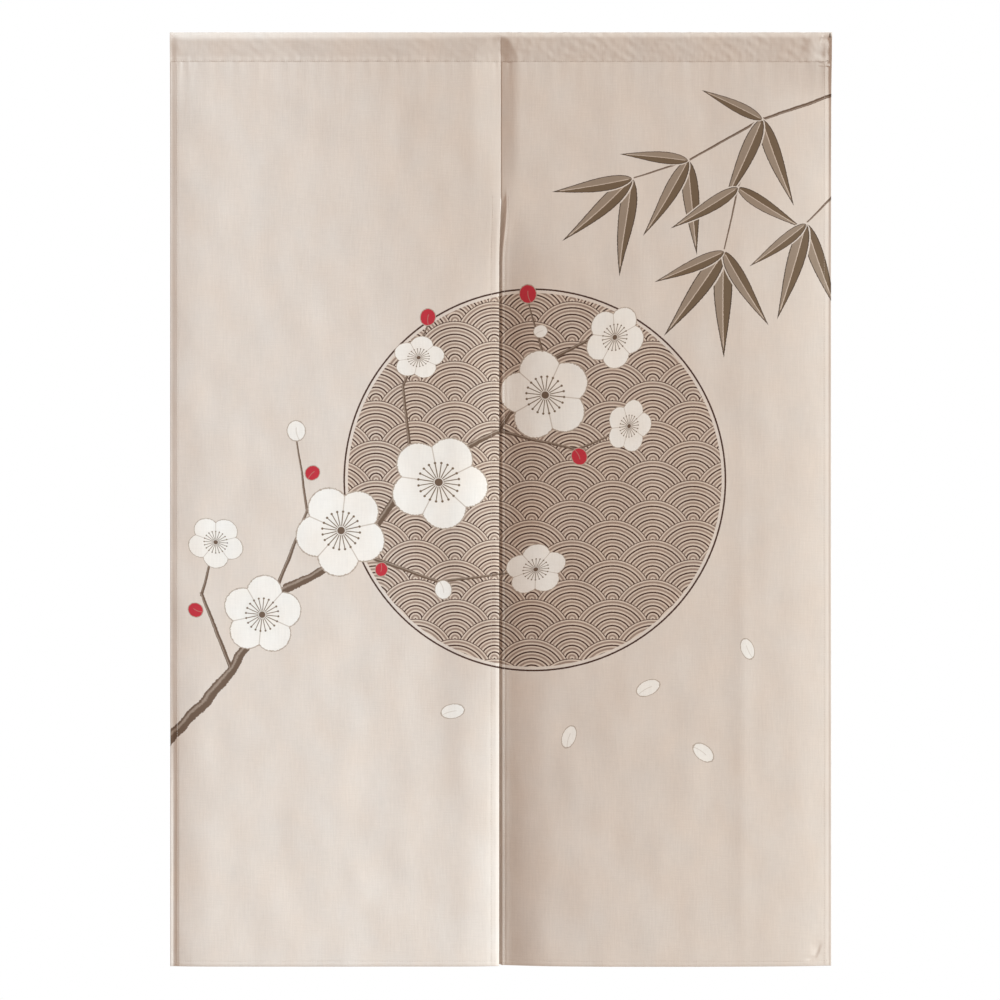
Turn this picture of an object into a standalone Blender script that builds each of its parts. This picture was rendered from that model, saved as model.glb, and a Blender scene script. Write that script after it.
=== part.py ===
"""A two-panel hanging curtain with a rod pocket along its top edge.

Metres, +Z up. The front faces -Y, and +X is to the right seen from the front. The origin lies on the centre line of
the rod that the pocket takes, at mid width. Each piece of cloth is one closed solid with its hems turned to the back.
"""

import math
from collections import namedtuple

import bmesh
import bpy

# Driving sizes
WIDTH = 0.850  # across both panels
HEIGHT = 1.200  # top edge of the pocket to the bottom hem
CLOTH = 0.0012  # one layer
SEWING_GAP = 0.0003  # between two pieces that are sewn together

# Rod pocket
ROD_RADIUS = 0.006  # the rod that the pocket is opened for
POCKET_DROP = 0.038  # top edge down to the stitches that close the pocket
STITCHED_BAND = 0.003  # front and back layers held together just above those stitches
ARC_STEPS = 12
POCKET_LENGTHS = 10  # divisions along the pocket

# Panels
SEAM_DROP = 0.210  # the panels are sewn to each other from the top edge down to here
PARTED_DROP = 0.340  # from here down the right panel's inner edge hangs behind the left one's
SIDE_HEM = 0.009
BOTTOM_HEM = 0.007
HEM_STEP = 0.0006  # over this distance the second layer of a hem begins
COLUMNS = 24
ROWS_IN_SEAM = 5
ROWS_WHERE_PARTING = 11
ROWS_HANGING_FREE = 22

TOP_Z = ROD_RADIUS + CLOTH
POCKET_FOOT_Z = TOP_Z - POCKET_DROP
PANEL_TOP_Z = POCKET_FOOT_Z - SEWING_GAP

# A roll bends one edge of a panel back: it is deepest at the edge and dies away over its width.
# A fold is a soft vertical swell, back where its depth is positive and towards the room where it is negative.
# "starts" and "full" are drops below the top edge: the shape grows from nothing at the first to its depth at the
# second, and a later row of the opposite sign takes it away again.
Roll = namedtuple("Roll", "edge width depth starts full")
Fold = namedtuple("Fold", "from_outer half_width depth starts full")
Panel = namedtuple("Panel", "name side joined_x parted_x parts_from parts_to rolls folds")

# Both panels dip towards the seam that joins them.
SEAM_VALLEY = Roll(edge="split", width=0.018, depth=0.0020, starts=0.040, full=0.090)

LEFT = Panel(
    name="left_panel",
    side=-1,
    joined_x=-SEWING_GAP / 2,
    parted_x=-0.0024,
    parts_from=SEAM_DROP,
    parts_to=0.300,
    rolls=(
        SEAM_VALLEY,
        Roll(edge="outer", width=0.052, depth=0.0028, starts=0.040, full=0.160),
        Roll(edge="outer", width=0.052, depth=0.0020, starts=0.640, full=0.950),
        Roll(edge="split", width=0.060, depth=0.0125, starts=0.230, full=0.420),
        Roll(edge="split", width=0.060, depth=-0.0105, starts=0.580, full=0.760),
        Roll(edge="split", width=0.050, depth=0.0052, starts=0.815, full=0.900),
    ),
    folds=(
        Fold(from_outer=0.190, half_width=0.240, depth=-0.0020, starts=0.040, full=0.500),
        Fold(from_outer=0.419, half_width=0.085, depth=-0.0042, starts=0.520, full=0.740),
        Fold(from_outer=0.419, half_width=0.085, depth=0.0034, starts=0.860, full=1.060),
        Fold(from_outer=0.262, half_width=0.045, depth=0.0005, starts=0.700, full=0.950),
    ),
)
RIGHT = Panel(
    name="right_panel",
    side=1,
    joined_x=SEWING_GAP / 2,
    parted_x=-0.0060,
    parts_from=0.215,
    parts_to=0.300,
    rolls=(
        SEAM_VALLEY,
        Roll(edge="outer", width=0.115, depth=0.0110, starts=0.030, full=0.090),
        Roll(edge="outer", width=0.060, depth=0.0045, starts=0.100, full=0.200),
        Roll(edge="outer", width=0.115, depth=-0.0030, starts=0.650, full=1.000),
        Roll(edge="split", width=0.140, depth=0.0130, starts=SEAM_DROP, full=0.420),
        Roll(edge="split", width=0.068, depth=0.0076, starts=0.205, full=0.300),
        Roll(edge="split", width=0.009, depth=0.0065, starts=0.205, full=0.270),
        Roll(edge="split", width=0.120, depth=0.0072, starts=0.760, full=1.120),
    ),
    folds=(
        Fold(from_outer=0.200, half_width=0.210, depth=-0.0050, starts=0.040, full=0.500),
        Fold(from_outer=0.130, half_width=0.050, depth=0.0010, starts=0.150, full=0.600),
        Fold(from_outer=0.262, half_width=0.060, depth=-0.0006, starts=0.300, full=0.700),
    ),
)

CLOTH_COLOUR = (0.760, 0.695, 0.620, 1.0)
POCKET_COLOUR = (0.740, 0.672, 0.600, 1.0)
CLOTH_ROUGHNESS = 0.9
SHARP_ANGLE = math.radians(40)


def clear_scene():
    for old in list(bpy.data.objects):
        bpy.data.objects.remove(old, do_unlink=True)


def cloth_material(name, colour):
    material = bpy.data.materials.new(name)
    material.use_nodes = True
    shader = material.node_tree.nodes["Principled BSDF"]
    shader.inputs["Base Color"].default_value = colour
    shader.inputs["Roughness"].default_value = CLOTH_ROUGHNESS
    shader.inputs["Metallic"].default_value = 0.0
    return material


def finish_object(name, mesh_edit, material):
    """Turn the edited mesh into a smooth-shaded object of the scene."""
    bmesh.ops.recalc_face_normals(mesh_edit, faces=mesh_edit.faces[:])
    mesh = bpy.data.meshes.new(name)
    mesh_edit.to_mesh(mesh)
    mesh_edit.free()
    mesh.shade_smooth()
    mesh.set_sharp_from_angle(angle=SHARP_ANGLE)
    mesh.materials.append(material)
    obj = bpy.data.objects.new(name, mesh)
    bpy.context.scene.collection.objects.link(obj)
    return obj


def ramp(value, start, end):
    """0 before start, 1 after end, and a smooth rise between them."""
    share = min(max((value - start) / (end - start), 0.0), 1.0)
    return share * share * (3.0 - 2.0 * share)


def setback(panel, from_outer, width, drop):
    """How far back the front face lies at this place: the sum of the panel's rolls and folds."""
    back = 0.0
    for roll in panel.rolls:
        from_edge = from_outer if roll.edge == "outer" else width - from_outer
        share = max(1.0 - from_edge / roll.width, 0.0)
        back += roll.depth * share**2 * ramp(drop, roll.starts, roll.full)
    for fold in panel.folds:
        share = min(abs(from_outer - fold.from_outer) / fold.half_width, 1.0)
        back += fold.depth * (1.0 - share**2) ** 2 * ramp(drop, fold.starts, fold.full)
    return back


def graded(length, count, hems):
    """Places from 0 to length, closer together near both ends, with a pair at each hem's inner edge."""
    places = [length * (1.0 - math.cos(math.pi * k / count)) / 2.0 for k in range(count + 1)]
    steps = [place for hem in hems for place in (hem - HEM_STEP / 2, hem + HEM_STEP / 2)]
    apart = [p for p in places if all(abs(p - step) > 2 * HEM_STEP for step in steps)]
    return sorted(apart + steps)


def spread(start, end, count):
    """count places from start, evenly apart, short of end."""
    return [start + (end - start) * k / count for k in range(count)]


def panel_drops():
    """Drops below the top edge of a panel's rows, with a pair at the inner edge of the bottom hem."""
    hem = HEIGHT - BOTTOM_HEM
    return (
        spread(TOP_Z - PANEL_TOP_Z, SEAM_DROP, ROWS_IN_SEAM)
        + spread(SEAM_DROP, PARTED_DROP, ROWS_WHERE_PARTING)
        + spread(PARTED_DROP, hem - HEM_STEP / 2, ROWS_HANGING_FREE)
        + [hem - HEM_STEP / 2, hem + HEM_STEP / 2, HEIGHT]
    )


def layers(from_outer, width, drop):
    """Layers of cloth at this place: two in a hem, one elsewhere."""
    in_side_hem = min(from_outer, width - from_outer) < SIDE_HEM
    in_bottom_hem = drop > HEIGHT - BOTTOM_HEM
    return 2 if in_side_hem or in_bottom_hem else 1


def build_panel(panel):
    """A sheet of the panel's folds, one layer thick and two in its hems."""
    full_width = WIDTH / 2 - panel.side * panel.parted_x
    columns = graded(full_width, COLUMNS, (SIDE_HEM, full_width - SIDE_HEM))
    shape = bmesh.new()
    front = []
    back = []
    for drop in panel_drops():
        parted = ramp(drop, panel.parts_from, panel.parts_to)
        split_x = panel.joined_x + (panel.parted_x - panel.joined_x) * parted
        width = WIDTH / 2 - panel.side * split_x
        front_row = []
        back_row = []
        for place in columns:
            from_outer = place * width / full_width
            x = panel.side * (WIDTH / 2 - from_outer)
            y = setback(panel, from_outer, width, drop) - CLOTH
            z = TOP_Z - drop
            thick = CLOTH * layers(place, full_width, drop)
            front_row.append(shape.verts.new((x, y, z)))
            back_row.append(shape.verts.new((x, y + thick, z)))
        front.append(front_row)
        back.append(back_row)
    for face in (front, back):
        for upper, lower in zip(face, face[1:]):
            for a, b, c, d in zip(upper, upper[1:], lower[1:], lower):
                shape.faces.new((a, b, c, d))
    front_rim = rim_of(front)
    back_rim = rim_of(back)
    for k, corner in enumerate(front_rim):
        shape.faces.new((corner, front_rim[k - 1], back_rim[k - 1], back_rim[k]))
    return finish_object(panel.name, shape, cloth_material(panel.name + "_cloth", CLOTH_COLOUR))


def rim_of(grid):
    """The corners around a grid's edge, in order."""
    right = [row[-1] for row in grid[1:-1]]
    left = [row[0] for row in grid[-2:0:-1]]
    return grid[0] + right + grid[-1][::-1] + left


def around_rod(radius, foot_half_width, foot_z):
    """(y, z) points of a layer that runs over the rod, from where it leaves the rod in front to where it does behind."""
    reach = math.hypot(foot_half_width, foot_z)
    foot_angle = math.atan2(foot_z, foot_half_width)
    leaves = foot_angle + math.acos(radius / reach)
    angles = [math.pi - leaves + (2 * leaves - math.pi) * k / ARC_STEPS for k in range(ARC_STEPS + 1)]
    return [(radius * math.cos(angle), radius * math.sin(angle)) for angle in angles]


def build_pocket():
    """A sleeve around the rod: two layers that meet at the stitched band, open at both ends."""
    outside = around_rod(ROD_RADIUS + CLOTH, CLOTH, POCKET_FOOT_Z)
    inside = around_rod(ROD_RADIUS, 0.0, POCKET_FOOT_Z + STITCHED_BAND)
    shape = bmesh.new()

    def corner(point):
        return shape.verts.new((-WIDTH / 2, point[0], point[1]))

    outer = [corner(point) for point in outside]
    inner = [corner(point) for point in inside]
    foot_front = corner((-CLOTH, POCKET_FOOT_Z))
    foot_back = corner((CLOTH, POCKET_FOOT_Z))
    meeting = corner((0.0, POCKET_FOOT_Z + STITCHED_BAND))
    for k in range(ARC_STEPS):
        shape.faces.new((outer[k], outer[k + 1], inner[k + 1], inner[k]))
    shape.faces.new((foot_front, outer[0], inner[0], meeting))
    shape.faces.new((foot_back, meeting, inner[-1], outer[-1]))
    shape.faces.new((foot_front, meeting, foot_back))
    swept = bmesh.ops.extrude_face_region(shape, geom=shape.faces[:])
    moved = [part for part in swept["geom"] if isinstance(part, bmesh.types.BMVert)]
    bmesh.ops.translate(shape, vec=(WIDTH, 0.0, 0.0), verts=moved)
    for k in range(1, POCKET_LENGTHS):
        parts = shape.verts[:] + shape.edges[:] + shape.faces[:]
        cut_at = (WIDTH * (k / POCKET_LENGTHS - 0.5), 0.0, 0.0)
        bmesh.ops.bisect_plane(shape, geom=parts, plane_co=cut_at, plane_no=(1.0, 0.0, 0.0))
    return finish_object("rod_pocket", shape, cloth_material("rod_pocket_cloth", POCKET_COLOUR))


def main():
    clear_scene()
    build_pocket()
    for panel in (LEFT, RIGHT):
        build_panel(panel)


main()
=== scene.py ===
"""Looks of a two-panel hanging curtain: thin linen-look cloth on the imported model's folds, its hems and
stitching, and a printed pattern of a wave-filled disc, a plum branch and bamboo.

Metres, +Z up. The front faces -Y, +X is to the right seen from the front, and the origin lies on the centre
line of the rod pocket. A "drop" is a distance below the top edge. The three cloth pieces repeat the sizes of
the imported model.
"""

import math
from collections import namedtuple

import bpy
import numpy as np
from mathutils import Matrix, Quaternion, Vector

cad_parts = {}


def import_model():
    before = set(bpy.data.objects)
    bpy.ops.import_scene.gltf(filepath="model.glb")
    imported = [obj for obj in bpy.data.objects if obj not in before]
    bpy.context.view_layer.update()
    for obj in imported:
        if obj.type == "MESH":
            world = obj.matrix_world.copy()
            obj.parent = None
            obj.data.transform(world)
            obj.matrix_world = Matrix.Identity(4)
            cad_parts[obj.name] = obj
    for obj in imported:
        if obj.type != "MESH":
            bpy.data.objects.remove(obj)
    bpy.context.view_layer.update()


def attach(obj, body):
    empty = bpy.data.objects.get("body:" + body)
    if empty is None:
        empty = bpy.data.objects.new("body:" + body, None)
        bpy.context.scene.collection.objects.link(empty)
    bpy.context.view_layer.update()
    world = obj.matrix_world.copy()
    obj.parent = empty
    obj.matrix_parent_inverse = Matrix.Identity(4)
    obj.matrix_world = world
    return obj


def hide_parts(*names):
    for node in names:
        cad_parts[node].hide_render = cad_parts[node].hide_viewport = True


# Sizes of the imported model
WIDTH = 0.850
HEIGHT = 1.200
SOLID_CLOTH = 0.0012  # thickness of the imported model's cloth, whose front faces are kept
ROD_RADIUS = 0.006
POCKET_DROP = 0.038
SEWING_GAP = 0.0003
SEAM_DROP = 0.210
TOP_Z = ROD_RADIUS + SOLID_CLOTH
PANEL_TOP_DROP = POCKET_DROP + SEWING_GAP

# The cloth
CLOTH = 0.0007  # one layer
HEM_LAYERS = 2.4  # how many times as thick the pressed double turn of a hem is
SIDE_HEM = 0.0095  # edge to stitches
SPLIT_HEM = 0.0105
BOTTOM_HEM = 0.0065
FLAP = 0.0055  # the pocket's cloth runs down behind the panels by this much below its stitches
GRID_ACROSS = 0.0048  # mesh spacing in the open cloth
GRID_DOWN = 0.0040
GRID_HEM = 0.0009  # mesh spacing across a hem
HEM_ZONE = 0.0165
GRID_BESIDE = 0.0017  # mesh spacing in the strip beside an outer hem and above the bottom one
BESIDE_ZONE = 0.036
POCKET_GRID = 0.0019  # mesh spacing along the pocket
POCKET_END = 0.042  # the stretch at its right end with the closer spacing POCKET_END_GRID
POCKET_END_GRID = 0.0012
POCKET_SEAM_GRID = 0.0004
SECTION_POINTS = (16, 26, 14, 6)  # of its front wall, its arc, its back wall and its flap
SQUARE_EDGE = 0.00003  # distance in which an edge that isn't round gains its thickness
SHARP_ANGLE = math.radians(60)  # edges of the mesh that bend by more than this aren't shaded smooth
PANEL_BAKE = 0.98 / 1.18  # scale of the map for baking
POCKET_BAKE = 0.98 / 1.9
ALLOWANCE_BAKE = 3.0
BACK_SHIFT = 1.06  # how far beside the front the back lies in that map, in widths

# Stitches, and the relief that a row of them gives the cloth
STITCH_PITCH = 0.0032
STITCH_LENGTH = 0.0026
THREAD_RADIUS = 0.00022
POCKET_PITCH = 0.0030
ROW_STEP = 0.002  # spacing of the points that a row follows
ROW_INSET = 0.0004  # how far inside its hem a row lies
ROW_ENDS = (0.002, 0.003, 0.004, 0.008)  # left free at a panel's top, foot, outer edge and split
THREAD_DIP = (0.00008, 0.0010)  # depth and half width of the dip along a row
STITCH_PUCKER = (0.00009, 0.006)  # and of the small puckers beside it
PUCKER_LENGTH = 0.013
HEM_FALL = (0.0005, 0.0012)  # how far inside its stitches a hem thins to one layer
SPLIT_HEM_STARTS = (SEAM_DROP - 0.010, SEAM_DROP + 0.060)
END_HEM_STARTS = (0.002, 0.010)  # drops over which the pocket's ends take on the outer hems' steps

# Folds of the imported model. A roll bends one edge of a panel back, and a fold is a soft vertical swell. Each
# grows from nothing at the drop "starts" to its depth at the drop "full".
Roll = namedtuple("Roll", "edge width depth starts full")
Fold = namedtuple("Fold", "from_outer half_width depth starts full")
# A step sets the cloth back by its depth from "far" to "near", two distances from a hem's edge. An outer hem
# changes from its top steps to its foot steps between the two drops of hem_change.
Step = namedtuple("Step", "depth near far")
Panel = namedtuple(
    "Panel",
    "node side joined_x parted_x parts_from parts_to rolls folds dip_width hem_change outer_top outer_foot split",
)

SEAM_VALLEY = Roll(edge="split", width=0.018, depth=0.0020, starts=0.040, full=0.090)
# Above the slit the seam pulls both panels and the pocket's front further back, over each panel's dip_width.
SEAM_DIP = 0.0055
DIP_POWER = 1.15
DIP_AT_ROD = 0.55  # share of its width and depth that it has beside the rod
DIP_WIDENS = (0.008, 0.031)  # from there to its whole size
DIP_STARTS = 0.003
DIP_FULL = 0.014
DIP_ENDS = (0.110, 0.260)

LEFT = Panel(
    node="left_panel",
    side=-1,
    joined_x=-SEWING_GAP / 2,
    parted_x=-0.0024,
    parts_from=SEAM_DROP,
    parts_to=0.300,
    rolls=(
        SEAM_VALLEY,
        Roll("outer", 0.052, 0.0028, 0.040, 0.160),
        Roll("outer", 0.052, 0.0020, 0.640, 0.950),
        Roll("split", 0.060, 0.0125, 0.230, 0.420),
        Roll("split", 0.060, -0.0105, 0.580, 0.760),
        Roll("split", 0.050, 0.0052, 0.815, 0.900),
    ),
    folds=(
        Fold(0.190, 0.240, -0.0020, 0.040, 0.500),
        Fold(0.419, 0.085, -0.0042, 0.520, 0.740),
        Fold(0.419, 0.085, 0.0034, 0.860, 1.060),
        Fold(0.262, 0.045, 0.0005, 0.700, 0.950),
    ),
    dip_width=0.034,
    hem_change=(0.80, 1.06),
    outer_top=(Step(0.0010, 0.0010, 0.0100), Step(-0.0002, 0.0, 0.0022)),
    outer_foot=(Step(0.0015, 0.0036, 0.0122), Step(-0.0011, 0.0, 0.0042)),
    split=(Step(0.0006, 0.0006, 0.0046), Step(-0.0008, 0.0004, 0.0116)),
)
RIGHT = Panel(
    node="right_panel",
    side=1,
    joined_x=SEWING_GAP / 2,
    parted_x=-0.0060,
    parts_from=0.215,
    parts_to=0.300,
    rolls=(
        SEAM_VALLEY,
        Roll("outer", 0.115, 0.0110, 0.030, 0.090),
        Roll("outer", 0.060, 0.0045, 0.100, 0.200),
        Roll("outer", 0.115, -0.0030, 0.650, 1.000),
        Roll("split", 0.140, 0.0130, SEAM_DROP, 0.420),
        Roll("split", 0.068, 0.0076, 0.205, 0.300),
        Roll("split", 0.009, 0.0065, 0.205, 0.270),
        Roll("split", 0.120, 0.0072, 0.760, 1.120),
    ),
    folds=(
        Fold(0.200, 0.210, -0.0050, 0.040, 0.500),
        Fold(0.130, 0.050, 0.0010, 0.150, 0.600),
        Fold(0.262, 0.060, -0.0006, 0.300, 0.700),
    ),
    dip_width=0.0205,
    hem_change=(-0.050, 0.750),
    outer_top=(Step(0.0008, 0.0036, 0.0096), Step(-0.0026, -0.0012, 0.0036)),
    outer_foot=(Step(0.0003, 0.0030, 0.0068), Step(-0.0009, 0.0, 0.0034)),
    # The edge turns sharply back into the slit, and the hem stands out beside it as far as its stitches.
    split=(Step(0.0090, 0.0052, 0.0064), Step(-0.0019, 0.0060, 0.0116), Step(-0.0010, 0.0100, 0.0190)),
)
FOOT_HEM = (Step(-0.00012, 0.0048, 0.0070), Step(0.0004, 0.0, 0.0036))

# A dent is a small soft crease of the open cloth: its place, its half sizes across and along, the angle of its
# length from upright in degrees (positive leans to the right), and its depth (negative stands out).
Dent = namedtuple("Dent", "x drop across along lean depth")
DENTS = (
    Dent(0.262, 0.105, 0.022, 0.060, -6, 0.0008),
    Dent(0.312, 0.860, 0.012, 0.240, 0, -0.0006),
    Dent(0.268, 0.985, 0.020, 0.050, 20, 0.0006),
    Dent(0.120, 0.960, 0.030, 0.110, -8, 0.0007),
    Dent(0.200, 1.080, 0.018, 0.070, 12, -0.0005),
    Dent(0.365, 0.560, 0.016, 0.120, 4, 0.0005),
    Dent(0.170, 0.250, 0.018, 0.090, -10, -0.0006),
    Dent(-0.150, 1.090, 0.030, 0.022, 60, 0.0007),
    Dent(-0.092, 1.115, 0.020, 0.020, 70, 0.0006),
    Dent(-0.290, 1.020, 0.024, 0.080, -12, 0.0006),
    Dent(-0.330, 0.560, 0.022, 0.130, 6, 0.0005),
    Dent(-0.240, 0.420, 0.020, 0.080, -14, -0.0005),
    Dent(-0.130, 0.130, 0.016, 0.060, 9, 0.0006),
    Dent(-0.300, 0.150, 0.020, 0.070, 14, 0.0005),
)

# All-over unevenness: so many waves, each of a random length between two, and of a height that is a share of
# its length. "lean" is how far they scatter from upright, in radians.
Crumple = namedtuple("Crumple", "seed waves shortest longest lean height")
PANEL_CRUMPLE = Crumple(11, 16, 0.030, 0.115, 0.55, 0.0009)
POCKET_CRUMPLE = Crumple(12, 30, 0.0055, 0.015, 1.50, 0.0025)
LEFT_CRUMPLE = 0.45  # share of it that the pocket's left half has, up to the first of two x
LEFT_CRUMPLE_ENDS = (-0.02, 0.02)
PANEL_CRUMPLE_STARTS = (PANEL_TOP_DROP, 0.10)

# Small upright puckers that hang from the pocket's stitches, coarse and fine
Gather = namedtuple("Gather", "depth length fade seed")
GATHERS = (Gather(0.00032, 0.021, 0.030, 7), Gather(0.000192, 0.0093, 0.00857, 8))

# The upright crease on the right panel
PRESSED_X = 0.3105
PRESSED_SLOPE = 0.085
PRESSED_FADE = 0.022
PRESSED_STARTS = (0.190, 0.300)

# The crease round the lower right corner, as points of (x, drop)
CORNER_CREASE = (
    (0.3924, 1.1920), (0.3976, 1.1901), (0.4034, 1.1875), (0.4059, 1.1830), (0.4079, 1.1773), (0.4104, 1.1721),
    (0.4143, 1.1670),
)
CREASE_WIDTH = 0.014  # the cloth dips over this width up to the crease, and rises again over CREASE_WALL
CREASE_WALL = 0.0040
CREASE_DEPTH = 0.0017
CREASE_GROWS = (-0.1, 0.2)  # shares of its length over which it grows, opens to its width and fades
CREASE_OPENS = (0.2, 0.8)
CREASE_FADES = (0.6, 1.0)

# The pocket's right end is drawn in: past a slanting line between two (x, drop) points the cloth falls back,
# with a leaning ridge above and to the left of it. Beside the end it comes forward again.
END_FALL = ((0.4022, 0.0340), (0.4099, 0.0135))
END_FALL_HALF = 0.0085
END_FALL_DEPTH = 0.0030
END_RIDGE = (0.3975, 0.0140)
END_RIDGE_HALVES = (0.0064, 0.0090)
END_RIDGE_LEAN = 0.35
END_RIDGE_DEPTH = 0.0014
END_RETURN = (0.4110, 0.4215)
END_RETURN_DROPS = (0.012, 0.024)
END_RETURN_DEPTH = 0.0012
END_STARTS = (0.001, 0.010)
END_STOPS = (0.028, POCKET_DROP)
# The left half of the pocket and of the panel's top stand out a little more
ROD_SWELL = 0.0013
ROD_SWELL_RISE = (0.0040, 0.0110)
FOOT_SWELL = 0.0006
FOOT_SWELL_RISE = (0.0300, 0.0375)
SWELL_FADE = 0.090
SWELL_STOPS = (-0.12, -0.02)  # x

# The pocket's section behind, and its relief. A wall, where its cloth hangs free, is given by the distance of
# its middle from the cloth's edge and its half height.
BACK_FOOT_Y = 0.0006
BACK_FOOT_RISE = 0.0008
FLAP_END_Y = 0.0004
FRONT_WALL = (0.017, 0.009)
BACK_WALL = (0.022, 0.010)
WALL_WAVE = (0.0004, 0.090)  # depth and length
FOOT_PUCKER = (0.00018, 0.008, 0.0125)  # depth, half height and length
CRUMPLE_STARTS = (0.0, 0.004)  # distances from the front edge
CRUMPLE_STOPS = (0.008, 0.014)  # distances from the back edge
SEAM_GROOVE = (-0.0005, 0.00035, 0.0008)  # x, depth and half width
POCKET_ROW = 0.0010  # its stitches above its foot
ALLOWANCE = (-0.0085, 0.0015)  # from x to x, the turned edges behind the seam

# Bars of dark thread at the pocket's right end: x, drop, half width and half height. They are real thread, but
# their dark colour is painted shade, at the shaded open end of the tube and at the corner above its stitches.
TACKS = ((0.4196, 0.0366, 0.0012, 0.0004), (0.4224, 0.0046, 0.0010, 0.0028))
TACK_PITCH = 0.0004

# Colours of the cloth and of its print, linear
CLOTH_COLOUR = (0.700, 0.620, 0.545)
TINT_WARM = (1.012, 0.994, 0.978)  # the bare colour drifts between these two multiples of itself
TINT_COOL = (0.990, 1.005, 1.018)
LEAF_COLOUR = (0.166, 0.113, 0.068)
LEAF_RIM_COLOUR = (0.070, 0.046, 0.030)
PETAL_COLOUR = (0.850, 0.815, 0.755)
PETAL_LINE_COLOUR = (0.430, 0.350, 0.280)
TWIG_COLOUR = (0.150, 0.098, 0.066)
RED_COLOUR = (0.500, 0.030, 0.045)
CREAM_COLOUR = (0.660, 0.545, 0.445)
MAUVE_COLOUR = (0.320, 0.232, 0.182)
LINE_COLOUR = (0.066, 0.030, 0.020)
THREAD_COLOUR = (0.700, 0.620, 0.540)
# Painted shade: the tacks' dark thread colour stands in for the shade at the pocket's open right end and at the
# corner above its stitches.
TACK_PAINTED_SHADE_COLOUR = (0.185, 0.140, 0.105)
BACK_PALER = 0.62  # share of the bare colour over the print on the wrong side
YARN_PITCH = 0.00085
TWIST_PITCH = 0.0006

# Camera and lights. A lamp's azimuth is to the right of straight ahead, and its angles are in degrees.
CAMERA_LENS = 200.0
VIEW_WIDTH = 1.2845  # metres across the picture, at the cloth
VIEW_CENTRE = (-0.00126, -0.5936)  # x and z
Lamp = namedtuple("Lamp", "name kind azimuth elevation energy colour")
KEY = Lamp("key", "SUN", 62.0, 28.0, 3.80, (0.790, 0.926, 1.0))
BEAM = Lamp("beam", "AREA", 62.0, 28.0, 0.92, (0.60, 0.81, 1.00))
BACK = Lamp("back", "SUN", 160.0, 30.0, 1.7, (0.940, 0.975, 1.0))
LAMP_DISTANCE = 3.0
SUN_ANGLE = 14.0
BEAM_X = -0.4025
BEAM_SIZE = (0.27, 1.8)
BEAM_ROLL = 6.0  # degrees that it leans to the left at the top, as it falls on the cloth
BEAM_SPREAD = 4.4
WORLD_LIGHT = (0.476, 0.353, 0.286)
WORLD_BEHIND = (0.190, 0.141, 0.114)  # the same light, dimmer, from behind the cloth
FLOOR_Z = -2.40
FLOOR_RADIUS = 2.6
FLOOR_FADE = (1.9, 1.3)  # the radius where it is half gone, and the width over which it goes

# The printed disc of waves
DISC_CENTRE = (0.045, 0.575)  # x and drop
DISC_RADIUS = 0.245
WAVE_RADIUS = 0.051
WAVE_RINGS = 6
RIM_LINE = 0.0022
RIM_GAP = 0.0048

# Print stamps. Each is drawn in its own coordinates: u along its length from 0 to 1 and v across it in half
# widths for a leaf or a twig, or both in radii from the middle for a blossom or a bud. "extra" is a leaf's
# bend, a twig's end width or a bud's redness.
Stamp = namedtuple("Stamp", "kind x drop angle length half_width extra")
LEAF_GAP = 0.0065  # more than a face of the mesh is long


def ramp(value, start, end):
    """0 before start, 1 after end, and a smooth rise between."""
    share = np.clip((value - start) / (end - start), 0.0, 1.0)
    return share * share * (3 - 2 * share)


def bump(distance, half_width):
    """1 on a line, falling smoothly to nothing."""
    return np.exp(-((distance / half_width) ** 2))


def uneven_wave(along, length, seed):
    """A smooth wave of about that length, between -1 and 1, that never quite repeats."""
    turn = 2 * math.pi * along / length
    phase = 2.4 * seed
    return (
        0.5 * np.sin(turn + phase)
        + 0.3 * np.sin(1.618 * turn + 2.1 * phase)
        + 0.2 * np.sin(0.618 * turn + 0.7 * phase)
    )


def beside_path(x, drop, points):
    """Distance from a path of (x, drop) points, positive on its lower right, and the share along it."""
    least_away = np.full_like(x, np.inf)
    signed, share = np.zeros_like(x), np.zeros_like(x)
    parts = len(points) - 1
    for number, ((x0, d0), (x1, d1)) in enumerate(zip(points, points[1:])):
        length = math.hypot(x1 - x0, d1 - d0)
        along = np.clip(((x - x0) * (x1 - x0) + (drop - d0) * (d1 - d0)) / length**2, 0, 1)
        away = np.hypot(x - x0 - along * (x1 - x0), drop - d0 - along * (d1 - d0))
        side = np.sign((x1 - x0) * (drop - d0) - (d1 - d0) * (x - x0))
        nearer = away < least_away
        least_away = np.where(nearer, away, least_away)
        signed = np.where(nearer, side * away, signed)
        share = np.where(nearer, (number + along) / parts, share)
    return signed, share


# ---------------------------------------------------------------- cloth shapes


def split_x(panel, drop):
    return panel.joined_x + (panel.parted_x - panel.joined_x) * ramp(drop, panel.parts_from, panel.parts_to)


def panel_width(panel, drop):
    return WIDTH / 2 - panel.side * split_x(panel, drop)


def rolled(roll, from_edge, drop):
    return roll.depth * np.maximum(1 - from_edge / roll.width, 0) ** 2 * ramp(drop, roll.starts, roll.full)


def main_folds(panel, from_outer, to_split, drop):
    """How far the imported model's folds set the front back."""
    total = np.zeros_like(from_outer)
    for roll in panel.rolls:
        total += rolled(roll, to_split if roll.edge == "split" else from_outer, drop)
    for fold in panel.folds:
        share = np.minimum(np.abs(from_outer - fold.from_outer) / fold.half_width, 1)
        total += fold.depth * (1 - share**2) ** 2 * ramp(drop, fold.starts, fold.full)
    return total


def stepped(from_edge, hem_steps):
    return sum(step.depth * (1 - ramp(from_edge, step.near, step.far)) for step in hem_steps)


def thread_line(from_edge, along, seed):
    """The dip and the small puckers along a row of stitches that lies at from_edge = 0."""
    dip, pucker = (depth * bump(from_edge, half) for depth, half in (THREAD_DIP, STITCH_PUCKER))
    return dip + pucker * uneven_wave(along, PUCKER_LENGTH, seed)


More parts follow.
